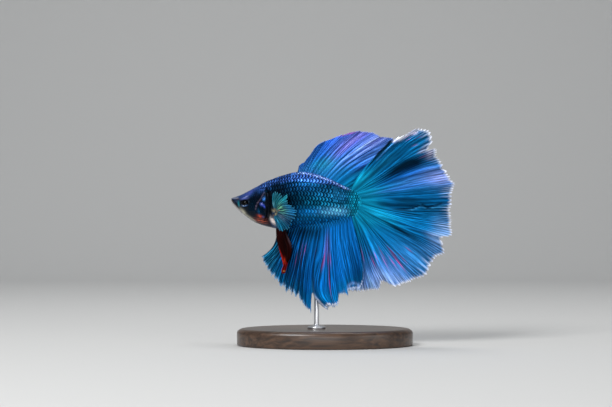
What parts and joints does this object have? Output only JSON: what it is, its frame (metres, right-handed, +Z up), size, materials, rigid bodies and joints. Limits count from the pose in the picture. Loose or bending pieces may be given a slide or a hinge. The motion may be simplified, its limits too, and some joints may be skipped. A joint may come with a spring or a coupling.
{
  "type": "betta fish display model",
  "caption": "Life-size male betta with a halfmoon tail and spread, pleated fins, swimming above a flat oval base on a thin steel rod.",
  "frame": {"origin": "centre of the display base's underside", "axes": "+Z up; the fish's head points to -X and its tail fin to +X; its left side faces -Y"},
  "size_m": [0.0787, 0.04, 0.0756],
  "materials": {
    "blue_scales": "wet, overlapping scales with a metallic blue and turquoise sheen",
    "dark_head": "wet skin and small scales, navy with pale blue spots",
    "grey_jaw": "wet bare skin, grey-beige",
    "eye": "glossy black pupil in a dark blue ring",
    "blue_fin": "thin rayed membrane, turquoise at the root to royal blue and lavender, with magenta streaks and a white fringe",
    "teal_fin": "thin rayed membrane, bright turquoise on a clear web",
    "red_fin": "thin rayed membrane, black-red with a bright red front edge",
    "base_wood": "dark stained, satin lacquer",
    "rod_steel": "brushed"
  },
  "bodies": {
    "root": {"head": "dark_head", "lower_jaw": "grey_jaw", "gill_cover_left": "dark_head", "gill_cover_right": "dark_head", "eye_left": "eye", "eye_right": "eye", "trunk": "blue_scales", "tail_stalk": "blue_scales", "dorsal_fin": "blue_fin", "anal_fin": "blue_fin", "caudal_fin": "blue_fin", "pectoral_fin_left": "teal_fin", "pectoral_fin_right": "teal_fin", "pelvic_fin_left": "red_fin", "pelvic_fin_right": "red_fin", "stand_base": "base_wood", "stand_rod": "rod_steel"}
  },
  "joints": []
}
